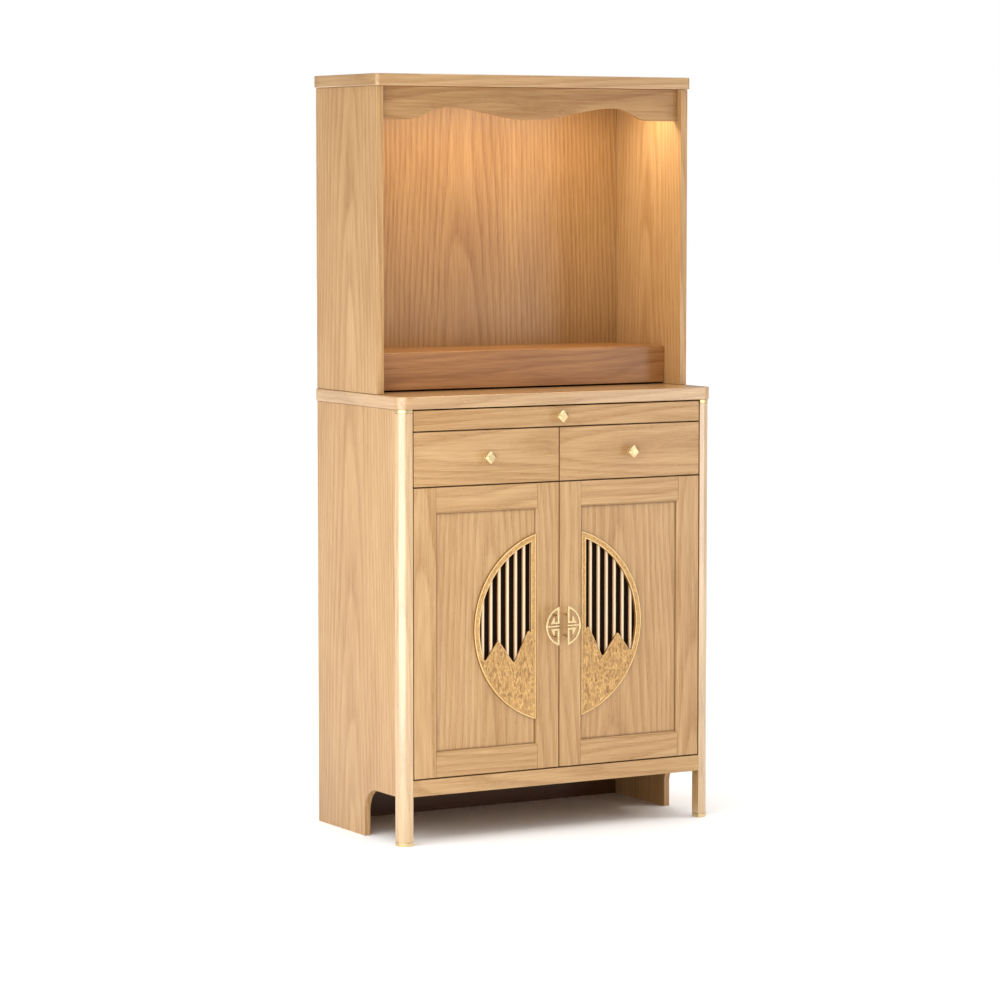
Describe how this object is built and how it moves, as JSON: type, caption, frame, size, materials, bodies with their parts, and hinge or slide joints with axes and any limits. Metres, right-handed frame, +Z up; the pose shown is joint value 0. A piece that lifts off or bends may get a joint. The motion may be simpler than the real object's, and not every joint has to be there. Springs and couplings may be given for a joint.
{
  "type": "household altar cabinet",
  "caption": "Light oak household altar cabinet: open shrine with a wavy valance, pull-out tray, drawers, and doors with half-moon lattices and a split brass handle.",
  "frame": {"origin": "on the floor, under the middle of the whole box", "axes": "+Z up, -Y out of the front, +X to the right when seen from the front"},
  "size_m": [0.818, 0.422, 1.703],
  "materials": {
    "oak": "satin lacquer",
    "oak_interior": "matt lacquer",
    "gilt_carving": "carved and gilt",
    "pale_slats": "satin lacquer",
    "black_backing": "matt",
    "brass": "polished"
  },
  "bodies": {
    "cabinet": {"cap_board": "oak", "shrine_side_left": "oak", "shrine_side_right": "oak", "shrine_back": "oak", "valance": "oak", "step_front": "oak", "step_top": "oak", "altar_top": "oak", "side_panel_left": "oak", "side_panel_right": "oak", "post_left": "oak", "post_right": "oak", "collar_left": "brass", "collar_right": "brass", "foot_cap_left": "brass", "foot_cap_right": "brass", "cabinet_back": "oak_interior", "cabinet_floor": "oak_interior", "bottom_rail": "oak", "tray_shelf": "oak_interior", "drawer_shelf": "oak_interior", "drawer_divider": "oak_interior", "drawer_guide_left": "oak_interior", "drawer_guide_right": "oak_interior", "tray_guide_left": "oak_interior", "tray_guide_right": "oak_interior", "hinge_left_top": "brass", "hinge_left_bottom": "brass", "hinge_right_top": "brass", "hinge_right_bottom": "brass"},
    "tray": {"tray_front": "oak", "tray_board": "oak", "tray_knob": "brass"},
    "drawer_left": {"drawer_left_front": "oak", "drawer_left_box": "oak_interior", "drawer_left_knob": "brass"},
    "drawer_right": {"drawer_right_front": "oak", "drawer_right_box": "oak_interior", "drawer_right_knob": "brass"},
    "door_left": {"door_left_outer_stile": "oak", "door_left_inner_stile": "oak", "door_left_top_rail": "oak", "door_left_bottom_rail": "oak", "door_left_panel": "oak", "door_left_moon_carving": "gilt_carving", "door_left_moon_lattice": "pale_slats", "door_left_moon_backing": "black_backing", "door_left_handle": "brass"},
    "door_right": {"door_right_outer_stile": "oak", "door_right_inner_stile": "oak", "door_right_top_rail": "oak", "door_right_bottom_rail": "oak", "door_right_panel": "oak", "door_right_moon_carving": "gilt_carving", "door_right_moon_lattice": "pale_slats", "door_right_moon_backing": "black_backing", "door_right_handle": "brass"}
  },
  "joints": [
    {"name": "tray_slide", "type": "slide", "parent": "cabinet", "child": "tray", "axis": [0, -1, 0], "range_m": [0, 0.25]},
    {"name": "drawer_left_slide", "type": "slide", "parent": "cabinet", "child": "drawer_left", "axis": [0, -1, 0], "range_m": [0, 0.26]},
    {"name": "drawer_right_slide", "type": "slide", "parent": "cabinet", "child": "drawer_right", "axis": [0, -1, 0], "range_m": [0, 0.26]},
    {"name": "door_left_hinge", "type": "hinge", "parent": "cabinet", "child": "door_left", "pos_m": [-0.365, -0.183, 0.4715], "axis": [0, 0, -1], "range_deg": [0, 105]},
    {"name": "door_right_hinge", "type": "hinge", "parent": "cabinet", "child": "door_right", "pos_m": [0.365, -0.183, 0.4715], "axis": [0, 0, 1], "range_deg": [0, 105]}
  ]
}
